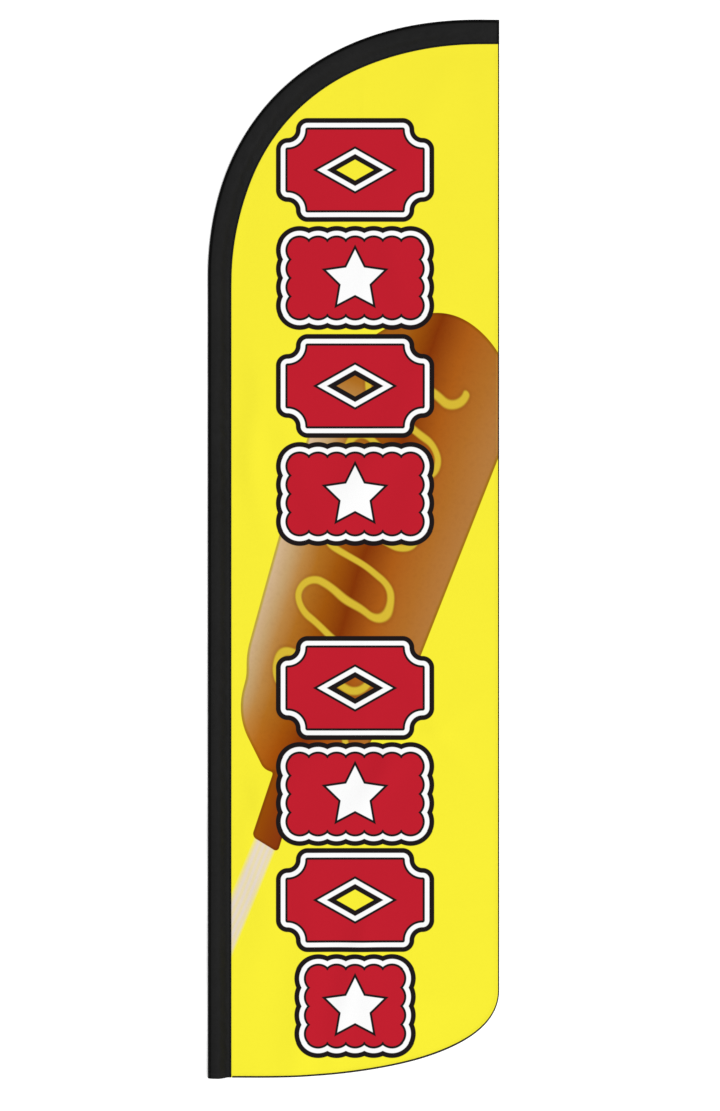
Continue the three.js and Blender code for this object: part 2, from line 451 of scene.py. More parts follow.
def bodyDistance(x, y, along, aside, length):
    dog = cornDog
    body = taperedCapsule(along, aside.size(), length, dog["topRadius"], dog["middleRadius"])
    lowAlong, lowAside, lowLength = axisPlace(x, y, dog["low"], dog["heel"])
    low = taperedCapsule(lowAlong, lowAside.size(), lowLength, dog["lowRadius"], dog["heelRadius"])
    body = body.op("SMOOTH_MIN", low, dog["lowJoin"])
    shoulderAlong, shoulderAside = dog["shoulder"]
    aboveShoulder = (along - shoulderAlong).atMost(0.0)
    shoulder = hypot(aboveShoulder, aside - shoulderAside) - dog["shoulderRadius"]
    return body.op("SMOOTH_MAX", shoulder, dog["shoulderJoin"])


def bodyLayer(place, x, y, wander, under):
    dog = cornDog
    along, aside, length = axisPlace(x, y, dog["top"], dog["middle"])
    body = bodyDistance(x, y, along, aside, length)
    collarAlong, collarAside, collarLength = axisPlace(x, y, dog["collarTop"], dog["collarEnd"])
    collar = collarDistance(collarAlong, collarAside, collarLength)
    whole = body.op("SMOOTH_MIN", collar, dog["collarJoin"])

    share = aside / (2 * dog["halfWidth"]) + 0.5 + (wander - 0.5) * dog["unevenness"]
    overTop = (-along).rising(*dog["litSideFades"]) * dog["topStartsAt"]
    color = share.within(0.0, 1.0).atLeast(overTop).ramp(dog["across"])
    color = (along - length).rising(*dog["lowBand"]).mix(color, dog["lowTint"], "MULTIPLY")
    crust = (place.noise(dog["crustScale"], detail=4.0) - 0.5).size() * dog["crustDepth"]
    color = crust.mix(color, dog["crust"], "MULTIPLY")

    collarShare = (collarAside / (2 * dog["collarRadius"]) + 0.5).within(0.0, 1.0)
    onCollar = (-collar).rising(*dog["runsFromCollar"]) * body.rising(*dog["runsIntoBody"])
    color = onCollar.mix(color, collarShare.ramp(dog["collarAcross"]))
    color = whole.rising(*dog["rimBand"]).mix(color, dog["rimTint"], "MULTIPLY")
    return mustardLayer(place, along, aside, coverage(whole).mix(under, color))


def mustardLayer(place, along, aside, under):
    # A line squeezed from side to side: half rings at both sides, joined by straight passes.
    quarter = mustard["pitch"] / 4
    asideScale, alongScale = mustard["wanderScales"]
    bendAside = (place.noise(asideScale) - 0.5) * (mustard["wander"] * 2)
    bendAlong = (place.noise(alongScale, detail=1.0) - 0.5) * (mustard["wander"] * 2)
    across = aside + mustard["drift"] + bendAside
    down = along - across * mustard["slant"] + bendAlong
    drawn = down.within(mustard["start"], mustard["end"])
    side = across.above(0.0)
    turn = (drawn - side * (2 * quarter)).wrapped(2 * quarter)
    past = (across.size() - mustard["reach"]).atLeast(0.0)
    line = hypot(turn, past) - quarter
    thread = hypot(line, down - drawn) - mustard["radius"]
    color = (-thread).rising(0.0, mustard["rimWidth"]).mix(mustard["rim"], mustard["core"])
    shadow = (-thread).rising(*mustard["shadowBand"]) * mustard["shadowDepth"]
    under = shadow.mix(under, mustard["shadow"])
    return coverage(thread, mustard["softness"]).mix(under, color)


def badgeLayers(x, y, under):
    upper, lower = badges["upper"], badges["lower"]
    inUpper = y.above(badges["groupSplit"])
    first, pitch = (blend(inUpper, lower[name], upper[name]) for name in ("first", "pitch"))
    number = ((first - y) / pitch).op("ROUND").within(0.0, badges["perGroup"] - 1)
    odd = number.op("MODULO", 2.0)
    upward = y - first + number * pitch
    localX, localY = (x - badges["column"]).size(), upward.size()
    halfWidth, halfHeight, scoop = badges["halfWidth"], badges["halfHeight"], badges["scoop"]
    # The lowest badge is narrower, for the rounded corner beside it.
    lowest = (number - inUpper).above(badges["perGroup"] - 1.5)
    halfWidth = halfWidth - lowest * badges["lobeSpacing"]

    # A ticket with scooped corners and a lozenge cut out of it.
    beyondX, beyondY = localX - halfWidth, localY - halfHeight
    past = beyondX.atLeast(beyondY)
    inside = past.atLeast(scoop - hypot(beyondX, beyondY))
    overTop = hypot((beyondX + scoop).atLeast(0.0), beyondY)
    overSide = hypot(beyondX, (beyondY + scoop).atLeast(0.0))
    ticket = blend(past.above(0.0), inside, overTop.atMost(overSide))
    wide, tall = badges["lozenge"]
    lozenge = (localX * tall + localY * wide - wide * tall) / math.hypot(wide, tall)
    ticket = ticket.atLeast(-lozenge)

    # A scalloped badge, with a star on it.
    spacing, lobe = badges["lobeSpacing"], badges["lobeRadius"]
    lastX, lastY = halfWidth - lobe, halfHeight - lobe
    lobeX = ((localX / spacing).op("ROUND") * spacing).atMost(lastX)
    lobeY = ((localY / spacing - 0.5).op("ROUND") * spacing + spacing / 2).within(-lastY, lastY)
    lobes = hypot(localX - lobeX, localY - lobeY) - lobe
    scalloped = lobes.atMost((localX - lastX).atLeast(localY - lastY))
    shape = blend(odd, ticket, scalloped)
    star = starDistance(localX, upward + badges["starDrop"])

    thin, white, dark = badges["thinLine"], badges["whiteLine"], badges["darkLine"]
    for margin, color in (
        (thin + white + dark, "dark"), (thin + white, "white"), (thin, "dark"), (0.0, "red"),
    ):
        under = coverage(shape - margin).mix(under, printColors[color])
    for margin, color in ((thin, "dark"), (0.0, "white")):
        under = (coverage(star - margin) * odd).mix(under, printColors[color])
    return under


def starDistance(sideways, upward):
    # A five-pointed star: one edge, folded round the middle ten times.
    tip, waist = badges["starRadius"], badges["starWaist"]
    fold = math.pi / 5
    angle = sideways.op("ARCTAN2", upward).wrapped(fold).size()
    reach = hypot(sideways, upward)
    edgeX, edgeY = waist * math.cos(fold) - tip, waist * math.sin(fold)
    edge = math.hypot(edgeX, edgeY)
    towardsTip = reach * angle.op("COSINE") - tip
    return (towardsTip * edgeY - reach * angle.op("SINE") * edgeX) / edge


knit = {
    "walePitch": 0.0011, "coursePitch": 0.0009, "waleShare": 0.6, "toneDepth": 0.03, "rise": 0.00015,
    "dyeScale": 2.4, "dyeDepth": 0.03, "wanderScale": 5.0,
}


def printedClothMaterial():
    material, tree, shader = newMaterial(
        "printedKnit", Roughness=0.75, Sheen_Weight=0.005, Specular_IOR_Level=0.05,
    )
    place, x, y = flatPlace(tree)
    heightShare = (y / (top - bottom) + 0.5).within(0.0, 1.0)
    wander = place.noise(knit["wanderScale"])
    color = heightShare.mix(printColors["fieldBottom"], printColors["fieldTop"])
    color = stickLayer(x, y, wander, color)
    color = bodyLayer(place, x, y, wander, color)
    color = badgeLayers(x, y, color)
    # Dye takes a little unevenly, and the knit shows as fine ribs along the flag.
    dye = place.noise(knit["dyeScale"], detail=3.0) - 0.5
    wales = threadWaves(x, knit["walePitch"])
    courses = threadWaves(y, knit["coursePitch"])
    ribs = wales * knit["waleShare"] + courses * (1 - knit["waleShare"])
    tone = dye * knit["dyeDepth"] + ribs * knit["toneDepth"] + 1.0
    tinted = tree.nodes.new("ShaderNodeVectorMath")
    tinted.operation = "SCALE"
    plug(color, tinted.inputs[0])
    plug(tone, tinted.inputs["Scale"])
    tree.links.new(tinted.outputs[0], shader.inputs["Base Color"])
    addBump(shader, ribs, knit["rise"], strength=0.5)
    return material


weave = {
    "warpPitch": 0.0010, "weftPitch": 0.0009, "threadShare": 0.12, "lintScale": 60.0, "lintShare": 0.5,
    "wearScale": 3.0, "wearShare": 0.8, "threadRise": 0.10, "rumpleScale": 30.0, "rise": 0.0020,
    # The last colour is the near black of the painted shade at the fold, the sewn tip and the lap's edge.
    "black": shade(30, 30, 30), "worn": shade(40, 40, 40), "paintedShade": shade(4, 4, 4),
}


def sleeveClothMaterial():
    material, tree, shader = newMaterial(
        "blackWovenCloth", Roughness=0.5, Sheen_Weight=0.005, Specular_IOR_Level=0.05,
    )
    place, around, along = flatPlace(tree)
    threads = threadWaves(around, weave["warpPitch"]) * threadWaves(along, weave["weftPitch"])
    lint = place.noise(weave["lintScale"], detail=4.0) - 0.5
    wear = place.noise(weave["wearScale"], detail=3.0) - 0.5
    share = threads * weave["threadShare"] + lint * weave["lintShare"] + wear * weave["wearShare"] + 0.5
    color = share.within(0.0, 1.0).mix(weave["black"], weave["worn"])
    # Painted shade: near black along the fold, the sewn tip and the lap's edge, read from a mesh attribute.
    paintedShade = tree.nodes.new("ShaderNodeAttribute")
    paintedShade.attribute_name = "paintedShadeEdge"
    color = Field(tree, paintedShade.outputs["Fac"]).mix(color, weave["paintedShade"])
    plug(color, shader.inputs["Base Color"])
    rumple = place.noise(weave["rumpleScale"], detail=3.0)
    addBump(shader, threads * weave["threadRise"] + rumple, weave["rise"], strength=0.45)
    return material


def threadMaterial(name, low, high):
    material, tree, shader = newMaterial(name, Roughness=0.6, Sheen_Weight=0.05, Specular_IOR_Level=0.25)
    place = Field(tree, tree.nodes.new("ShaderNodeTexCoord").outputs["Object"])
    fibres = place.noise(scale=900.0)
    plug(fibres.mix(low, high), shader.inputs["Base Color"])
    addBump(shader, fibres, rise=0.0001, strength=0.5)
    return material


printedCloth = printedClothMaterial()
sleeveCloth = sleeveClothMaterial()
blackThread = threadMaterial("blackThread", shade(20, 20, 20), shade(54, 54, 54))
yellowThread = threadMaterial("yellowThread", shade(216, 198, 40), shade(250, 238, 90))
darkThread = threadMaterial("darkOverlockThread", shade(14, 13, 6), shade(44, 41, 26))
print("materials made")


def clothMesh(name, points, faces, material, uvs):
    mesh = bpy.data.meshes.new(name)
    mesh.from_pydata([tuple(p) for p in points], [], [tuple(f) for f in faces])
    layer = mesh.uv_layers.new(name="flatCloth")
    corners = np.zeros(len(mesh.loops), np.int32)
    mesh.loops.foreach_get("vertex_index", corners)
    layer.uv.foreach_set("vector", np.asarray(uvs, np.float32)[corners].ravel())
    mesh.materials.append(material)
    piece = bpy.data.objects.new(name, mesh)
    bpy.context.collection.objects.link(piece)
    return piece


def select(piece):
    bpy.ops.object.select_all(action="DESELECT")
    piece.select_set(True)
    bpy.context.view_layer.objects.active = piece


def smooth(piece, degrees=50):
    select(piece)
    bpy.ops.object.shade_smooth_by_angle(angle=math.radians(degrees))


def applyModifier(piece, kind, **settings):
    modifier = piece.modifiers.new(kind.lower(), kind)
    for key, value in settings.items():
        setattr(modifier, key, value)
    select(piece)
    bpy.ops.object.modifier_apply(modifier=modifier.name)


def joined(name, pieces):
    bpy.ops.object.select_all(action="DESELECT")
    for piece in pieces:
        piece.select_set(True)
    bpy.context.view_layer.objects.active = pieces[0]
    bpy.ops.object.join()
    pieces[0].name = name
    return pieces[0]


def withHeight(places, height):
    return np.column_stack([places, np.broadcast_to(height, len(places))])


def sewOn(piece):
    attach(piece, "root")


# The panel of printed cloth.
panel = {
    "spacing": 0.0105, "fineSpacing": 0.0052, "roughSpacing": 0.012,  # between the points of the mesh
    "seamRows": (0.006, 0.0115, 0.0168, 0.0222, 0.0290),  # of points, in from the seam
    "hemRows": (-0.0065, -0.0016, 0.0016, 0.0085),  # of points, in from the hem's inner edge
    "rowGap": 0.004, "thickness": 0.0004, "edgeInset": 0.0009, "onFloor": 0.0007, "underLap": 0.0115,
    "hemWidth": 0.0115, "hemRise": 0.0009, "hemStep": 0.0012, "hemStarts": (0.010, 0.030),
    "seamRise": 0.0010, "seamRiseEnds": (0.010, 0.040), "tautBesideSeam": 0.11,
    # Long low folds, as cloth keeps when it is laid out by hand. Each pair is the least and the most.
    "folds": {
        "count": 30, "seed": 11, "middleX": (-0.40, 0.46), "middleY": (-1.65, 1.60), "turnSpread": 0.55,
        "reach": (0.22, 0.62), "width": (0.035, 0.080), "bend": (-0.25, 0.25), "rise": (0.0028, 0.0078),
    },
    # Faint ridges where the flag was folded for its bag: one along it and five across it.
    "creases": {
        "along": 0.035, "across": (-1.19, -0.61, -0.02, 0.57, 1.15), "rise": 0.0010, "reach": 0.015,
        "fading": 0.3, "fadeTurns": (9, 14), "sway": 0.004, "swayTurns": 5,
    },
    # Waves beside the edges. Reach is the distance over which they die away.
    "flutes": {"rise": 0.0042, "reach": 0.060, "pitch": 0.31, "seed": 2.0},
    "seamPuckers": {"rise": 0.0012, "reach": 0.024, "pitch": 0.031, "seed": 5.0, "starts": (0.010, 0.018)},
    "hemPuckers": {"rise": 0.0004, "reach": 0.012, "pitch": 0.024, "seed": 3.0},
}


def panelEdges(spacing):
    pole = poleLine(spacing)
    seam = pole.inset(sleeveWidthAt(pole.along) - panel["underLap"])
    free = freeLine(seam[-1, 1], seam[0, 0], spacing)
    return pole, seam, free


def nearestOn(points, line, along):
    # Distance from each point to a line, and how far along the line the nearest place is.
    best = np.full(len(points), np.inf)
    place = np.zeros(len(points))
    for i in range(len(line) - 1):
        step = line[i + 1] - line[i]
        share = np.clip((points - line[i]) @ step / (step @ step), 0, 1)
        distance = np.linalg.norm(points - line[i] - share[:, None] * step, axis=1)
        closer = distance < best
        best[closer] = distance[closer]
        place[closer] = (along[i] + share * (along[i + 1] - along[i]))[closer]
    return best, place


def insideOutline(points, polygon):
    inside = np.zeros(len(points), bool)
    for a, b in zip(polygon, np.roll(polygon, -1, axis=0)):
        crosses = (a[1] > points[:, 1]) != (b[1] > points[:, 1])
        if a[1] != b[1]:
            crossX = a[0] + (points[:, 1] - a[1]) / (b[1] - a[1]) * (b[0] - a[0])
            inside ^= crosses & (points[:, 0] < crossX)
    return inside


def softFolds(x, y):
    folds = panel["folds"]
    draw = random.Random(folds["seed"])
    height = np.zeros_like(x)
    for _ in range(folds["count"]):
        centreX, centreY = draw.uniform(*folds["middleX"]), draw.uniform(*folds["middleY"])
        turn = draw.gauss(0.0, folds["turnSpread"])
        reach, width = draw.uniform(*folds["reach"]), draw.uniform(*folds["width"])
        bend, rise = draw.uniform(*folds["bend"]), draw.uniform(*folds["rise"])
        along = (x - centreX) * math.sin(turn) + (y - centreY) * math.cos(turn)
        aside = (x - centreX) * math.cos(turn) - (y - centreY) * math.sin(turn) + bend * along ** 2
        fade = np.cos(np.clip(along / reach, -1, 1) * math.pi / 2) ** 2
        height += rise * fade * np.exp(-(aside / width) ** 2)
    return height


def ridge(offLine, turn):
    # A ridge that comes and goes along its line.
    fading = panel["creases"]["fading"]
    return np.exp(-np.abs(offLine) / panel["creases"]["reach"]) * (1 - fading + fading * np.sin(turn))


def packingCreases(x, y):
    creases = panel["creases"]
    alongTurns, acrossTurns = creases["fadeTurns"]
    height = ridge(x - creases["along"], alongTurns * y)
    for line in creases["across"]:
        sway = creases["sway"] * np.sin(creases["swayTurns"] * x + line)
        height += ridge(y - line - sway, acrossTurns * x + 3 * line)
    return creases["rise"] * height


def edgeWave(name, along, distance):
    wave = panel[name]
    swell = 0.5 + 0.5 * ripple(along, wave["pitch"], wave["seed"])
    return wave["rise"] * swell * np.exp(-distance / wave["reach"])


class PanelHeight:
    # The height of the cloth's upper face at any place.
    def __init__(self):
        self.pole, self.seam, self.free = panelEdges(panel["roughSpacing"])

    def at(self, points):
        x, y = points[:, 0], points[:, 1]
        toSeam, seamAlong = nearestOn(points, self.seam, self.pole.along)
        toFree, freeAlong = nearestOn(points, self.free.at, self.free.along)
        slack = smoothStep(0.0, panel["tautBesideSeam"], toSeam)
        height = panel["onFloor"] + softFolds(x, y) * slack + packingCreases(x, y) * slack
        height += edgeWave("flutes", freeAlong, toFree) * slack
        puckerShare = smoothStep(*panel["seamPuckers"]["starts"], toSeam)
        height += edgeWave("seamPuckers", seamAlong, toSeam) * puckerShare
        height += panel["seamRise"] * (1 - smoothStep(*panel["seamRiseEnds"], toSeam))
        fromHem = toFree - panel["hemWidth"]
        hem = 1 - smoothStep(-panel["hemStep"], panel["hemStep"], fromHem)
        height += panel["hemRise"] * hem * smoothStep(*panel["hemStarts"], toSeam)
        return height + edgeWave("hemPuckers", freeAlong, np.abs(fromHem)) * slack


def cross(places, face):
    # Twice a triangle's area, below zero where its corners run clockwise.
    a, b, c = (places[i] for i in face[:3])
    return (b[0] - a[0]) * (c[1] - a[1]) - (b[1] - a[1]) * (c[0] - a[0])


def panelPoints():
    # The rim, fine rows beside the seam and the hem, and an even grid between them.
    spacing, gap = panel["spacing"], panel["rowGap"]
    pole, seam, free = panelEdges(panel["fineSpacing"])
    rim = np.concatenate([seam[1:-1], free.inset(panel["edgeInset"])])
    seamRows = panel["seamRows"]
    hemRows = [panel["hemWidth"] + row for row in panel["hemRows"]]
    inset = sleeveWidthAt(pole.along) - panel["underLap"]
    besideSeam = np.concatenate([pole.inset(inset + row) for row in seamRows])
    besideHem = np.concatenate([free.inset(row) for row in hemRows])
    columns = np.arange(left, right, spacing)
    rows = np.arange(bottom, top, spacing * math.sqrt(3) / 2)
    grid = np.array([(x + spacing / 2 * (j % 2), y) for j, y in enumerate(rows) for x in columns])
    kept = []
    for points, offSeam, offFree in (
        (besideSeam, gap, gap), (besideHem, seamRows[-1] + gap, gap),
        (grid, seamRows[-1] + spacing / 2, hemRows[-1] + spacing / 2),
    ):
        points = points[insideOutline(points, rim)]
        toSeam = nearestOn(points, seam, pole.along)[0]
        toFree = nearestOn(points, free.at, free.along)[0]
        kept.append(points[(toSeam > offSeam) & (toFree > offFree)])
    return rim, np.concatenate([rim, *kept])


def makePanel(heightField):
    rim, points = panelPoints()
    insideRim, closest = 1, 1e-7
    flat = delaunay_2d_cdt([Vector(p) for p in points], [], [list(range(len(rim)))], insideRim, closest)
    places = np.array([tuple(v) for v in flat[0]])
    faces = [f if cross(places, f) > 0 else f[::-1] for f in flat[2]]
    area = float(sum(cross(places, f) for f in faces) / 2)
    raised = withHeight(places, heightField.at(places))
    piece = clothMesh("panelCloth", raised, faces, printedCloth, places)
    applyModifier(piece, "SOLIDIFY", thickness=panel["thickness"], offset=-1)
    smooth(piece)
    return piece, area


panelHeight = PanelHeight()
panelCloth, panelArea = makePanel(panelHeight)
sewOn(panelCloth)
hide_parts("printed_panel")
print("panel laid:", len(panelCloth.data.polygons), "faces, cut area", round(panelArea, 3))


def archSection(width, height, crestAcross, foldUp):
    # The strip's outer face from the lap's edge over the crest, round the fold and back along the floor.
    lapTop, points = sleeve["lapTop"], sleeve["points"]
    tube = width - sleeve["lap"]
    crest = (tube * crestAcross, height)
    fold = (0, height * foldUp)
    foot = (tube * sleeve["footAcross"], 0)
    seamHandle = (tube * sleeve["seamHandle"][0], lapTop + (height - lapTop) * sleeve["seamHandle"][1])
    towardsSeam, towardsFold = (tube * share for share in sleeve["crestHandles"])
    above, below = (height * share for share in sleeve["foldHandles"])
    return np.concatenate([
        np.linspace((width, lapTop), (tube, lapTop), points["lap"])[:-1],
        bezier((tube, lapTop), seamHandle, (towardsSeam, height), crest, points["seamSide"])[:-1],
        bezier(crest, (towardsFold, height), (0, above), fold, points["foldSide"])[:-1],
        bezier(fold, (0, below), (tube * sleeve["footHandle"], 0), foot, points["foot"])[:-1],
        np.linspace(foot, (tube + sleeve["backPastSeam"], 0), points["back"]),
    ])


def sleeveWave(name, along):
    depth, pitch, seed = sleeve["waves"][name]
    return depth * ripple(along, pitch, seed)


def sleeveSection(along):
    # The section at one place, with the waves and gathers that sewn cloth keeps.
    width = float(sleeveWidthAt(along))
    full = float(archHeightAt(along))
    openShare = min(1.0, full / sleeve["tipHeight"])
    height = full * (1 + float(sleeveWave("bulge", along)) * openShare)
    crest = sleeve["crestAcross"] + float(sleeveWave("crestDrift", along))
    foldUp = sleeve["foldUp"] + float(sleeveWave("foldUpDrift", along))
    section = archSection(width, height, crest, foldUp)
    tube = width - sleeve["lap"]
    across = section[:, 0] / tube
    onSeamHalf = (across > 0.5) & (section[:, 1] > 0)
    onTop = (section[:, 1] > sleeve["lowest"] * height) | onSeamHalf
    onCurve = float(smoothStep(sleeve["growsFrom"], sleeve["growsTo"], along - curveStartAlong))
    growth = sleeve["straightShare"] + (1 - sleeve["straightShare"]) * onCurve
    nearFolds = np.exp(-((across - sleeve["foldsAt"]) / sleeve["foldSpread"]) ** 2)
    slanted = along + sleeve["foldSlant"] * section[:, 0]
    folds = growth * openShare * nearFolds * sleeveWave("folds", slanted)
    nearSeam = np.exp(-((1 - across) / sleeve["gatherSpread"]) ** 2)
    gathers = nearSeam * (sleeveWave("gathers", along) + sleeve["gatherLift"])
    lift = (folds + gathers) * (1 - smoothStep(sleeve["fadeFrom"], 1.0, across))
    section[:, 1] += np.where(onTop & (across < 1), lift, 0)
    return section


def lofted(name, rings, closed, material, uvs):
    # A skin over rings of points. A closed one has rings that close and caps at both ends.
    steps, corners = rings.shape[:2]
    faces = []
    for i in range(steps - 1):
        for k in range(corners if closed else corners - 1):
            here, following = i * corners, (k + 1) % corners
            faces.append((here + k, here + corners + k, here + corners + following, here + following))
    if closed:
        faces.append(tuple(range(corners)))
        faces.append(tuple(range(steps * corners - 1, (steps - 1) * corners - 1, -1)))
    return clothMesh(name, rings.reshape(-1, 3), faces, material, uvs)


def paintedShadeShare(across, alongs):
    # How much painted shade blackens the cloth at each point of the rings, from 0 to 1.
    paintedShade = sleeve["paintedShade"]
    fold = 1 - smoothStep(*paintedShade["fold"], across)
    tip = 1 - smoothStep(*paintedShade["tip"], poleEdge.length - alongs)[:, None]
    lap = 1 - smoothStep(*paintedShade["lap"], sleeveWidthAt(alongs)[:, None] - across)
    lap[:, across.shape[1] // 2:] = 0  # the back ply passes beneath the lap
    return np.maximum(np.maximum(fold, tip), paintedShade["lapShare"] * lap)


def makeSleeve():
    alongs = np.concatenate([[mouth["roll"]], poleEdge.along[1:]])
    sections = np.array([sleeveSection(along) for along in alongs])
    places = poleEdge.place(alongs[:, None], sections[:, :, 0])
    rings = np.concatenate([places, sections[:, :, 1:]], axis=2)
    around = lengthsAlong(sections[0])
    uvs = np.stack(np.meshgrid(alongs, around, indexing="ij")[::-1], 2).reshape(-1, 2)
    piece = lofted("sleeveCloth", rings, False, sleeveCloth, uvs)
    # The painted shade's share at each point is kept as a mesh attribute for the material.
    paintedShade = piece.data.attributes.new("paintedShadeEdge", "FLOAT", "POINT")
    paintedShade.data.foreach_set("value", paintedShadeShare(sections[:, :, 0], alongs).astype(np.float32).ravel())
    area = sum(face.area for face in piece.data.polygons)
    applyModifier(piece, "SOLIDIFY", thickness=sleeve["wall"], offset=-1)
    smooth(piece)
    return piece, area


# The mouth's edge is rolled inwards and stitched down.
mouth = {
    "roll": 0.0010, "rounding": (0.35, 0.18),  # the rolled edge's corners, as shares of its size
    "hem": 0.0200, "plyGap": 0.0001, "clearOfSeam": 0.006,
    "stitchAt": 0.0155, "stitchShares": (0.03, 0.83),  # of the sleeve's width
}


def makeMouthHem():
    roll, hem = mouth["roll"], mouth["hem"]
    shallow = sleeve["wall"] + mouth["plyGap"]
    deep = 2 * shallow
    back, down = roll * mouth["rounding"][0], deep * mouth["rounding"][1]
    profile = (  # along, and in from the sleeve's outer face
        (roll, 0), (back, down), (0, deep / 2), (back, deep - down), (roll, deep),
        (hem / 2, deep), (hem, deep), (hem, shallow), (roll, shallow),
    )
    tube = float(sleeveWidthAt(0)) - sleeve["lap"] - mouth["clearOfSeam"]
    keep = [k for k, corner in enumerate(sleeveSection(0.0)) if corner[0] < tube]
    rings = []
    for along, inward in profile:
        section = sleeveSection(along)
        slope = np.gradient(section, axis=0)
        slope /= np.linalg.norm(slope, axis=1)[:, None]
        outward = np.stack([slope[:, 1], -slope[:, 0]], 1)
        corners = (section - outward * inward)[keep]
        rings.append(np.column_stack([poleEdge.place(along, corners[:, 0]), corners[:, 1]]))
    rings = np.array(rings).transpose(1, 0, 2)
    uvs = np.stack([rings[..., 0] - left + rings[..., 2], rings[..., 1] - bottom], 2).reshape(-1, 2)
    piece = lofted("mouthHem", rings, True, sleeveCloth, uvs)
    select(piece)
    bpy.ops.object.mode_set(mode="EDIT")
    bpy.ops.mesh.select_all(action="SELECT")
    bpy.ops.mesh.normals_make_consistent(inside=False)
    bpy.ops.object.mode_set(mode="OBJECT")
    smooth(piece)
    return piece


sleeveStrip, sleeveArea = makeSleeve()
mouthHem = makeMouthHem()
sewOn(sleeveStrip)
sewOn(mouthHem)
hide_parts("pole_sleeve")
print("sleeve made:", len(sleeveStrip.data.polygons), "faces, cut area", round(sleeveArea, 3))


def pathCurve(name, points, thickening=1.0):
    data = bpy.data.curves.new(name, "CURVE")
    data.dimensions = "3D"
    data.twist_mode = "Z_UP"
    spline = data.splines.new("POLY")
    spline.points.add(len(points) - 1)
    for knot, place, share in zip(spline.points, points, np.broadcast_to(thickening, len(points))):
        knot.co = (*place, 1.0)
        knot.radius = share
    curve = bpy.data.objects.new(name, data)
    bpy.context.collection.objects.link(curve)
    return curve


def repeatAlong(piece, curve, step):
    applyModifier(
        piece, "ARRAY", fit_type="FIT_CURVE", curve=curve, use_relative_offset=False,
        use_constant_offset=True, constant_offset_displace=(step, 0, 0),
    )
    applyModifier(piece, "CURVE", object=curve, deform_axis="POS_X")


def stitchedRow(name, points, stitch, material):
    # One stitch, repeated along a path. It dips at both ends, where the thread goes through the cloth.
    curve = pathCurve("stitchPath", points)
    bpy.ops.mesh.primitive_uv_sphere_add(segments=6, ring_count=4, radius=0.5)
    piece = bpy.context.object
    piece.name = name
    bpy.ops.object.mode_set(mode="EDIT")
    bpy.ops.mesh.select_all(action="SELECT")
    bpy.ops.transform.rotate(value=math.pi / 2, orient_axis="Y", center_override=(0, 0, 0))
    bpy.ops.transform.resize(value=(stitch["length"], stitch["thread"], stitch["thread"]))
    bpy.ops.transform.translate(value=(stitch["length"] / 2, 0, 0))
    bpy.ops.object.mode_set(mode="OBJECT")
    bpy.ops.object.shade_smooth()
    piece.data.materials.append(material)
    repeatAlong(piece, curve, stitch["length"] + stitch["gap"])
    bpy.data.objects.remove(curve)
    return piece


# Black thread sews the sleeve: rows along its seam, over its tip and, with mouth's values, at its mouth.
blackStitch = {
    "length": 0.0034, "gap": 0.0011, "thread": 0.0008, "sunk": 0.28,
    "fromLapEdge": (0.0022, 0.0088), "beforeTip": (0.0070, 0.0240), "endMargin": 0.0045,
    "tipShares": (0.03, 0.95),  # of the sleeve's width
    "lowest": 0.80,  # of the crest's height, on the fold's side
    "pathStep": 0.012,
}
# Yellow thread holds the hem.
hemStitch = {
    "length": 0.0034, "gap": 0.0012, "thread": 0.0006, "sunk": 0.30,
    "fromEdge": 0.0098, "belowTip": 0.001, "besideMouth": 0.004, "pathStep": 0.010,
}


def proud(stitch):
    # How high a stitch's middle lies above the cloth.
    return stitch["thread"] * (0.5 - stitch["sunk"])


def makeSeamStitching():
    margin = blackStitch["endMargin"]
    along = np.arange(margin, poleEdge.length - margin, blackStitch["pathStep"])
    height = sleeve["lapTop"] + proud(blackStitch)
    rows = []
    for fromLapEdge in blackStitch["fromLapEdge"]:
        places = poleEdge.place(along, sleeveWidthAt(along) - fromLapEdge)
        rows.append(stitchedRow("seamStitching", withHeight(places, height), blackStitch, blackThread))
    return joined("seamStitching", rows)


def overUpperFace(along, fromShare, toShare):
    # Points over the sleeve's upper face, from its seam side down to its fold.
    section = sleeveSection(along)
    crest = int(np.argmax(section[:, 1]))
    lowest = blackStitch["lowest"] * section[crest, 1]
    width = float(sleeveWidthAt(along))
    shown = np.array([
        corner for k, corner in enumerate(section)
        if fromShare * width < corner[0] < toShare * width and (k < crest or corner[1] > lowest)
    ])
    return np.column_stack([poleEdge.place(along, shown[:, 0]), shown[:, 1] + proud(blackStitch)])


def makeMouthStitching():
    points = overUpperFace(mouth["stitchAt"], *mouth["stitchShares"])
    return stitchedRow("mouthStitching", points, blackStitch, blackThread)


def makeTipStitching():
    rows = []
    for beforeTip in blackStitch["beforeTip"]:
        points = overUpperFace(poleEdge.length - beforeTip, *blackStitch["tipShares"])
        rows.append(stitchedRow("tipStitching", points, blackStitch, blackThread))
    return joined("tipStitching", rows)


def makeHemStitching():
    places = freeEdge(hemStitch).inset(hemStitch["fromEdge"])
    height = panelHeight.at(places) + proud(hemStitch)
    return stitchedRow("hemStitching", withHeight(places, height), hemStitch, yellowThread)


seamStitching = makeSeamStitching()
mouthStitching = makeMouthStitching()
tipStitching = makeTipStitching()
hemStitching = makeHemStitching()
for row in (seamStitching, mouthStitching, tipStitching):
    sewOn(row)
sewOn(hemStitching)
print("seams stitched:", len(seamStitching.data.polygons), len(hemStitching.data.polygons))


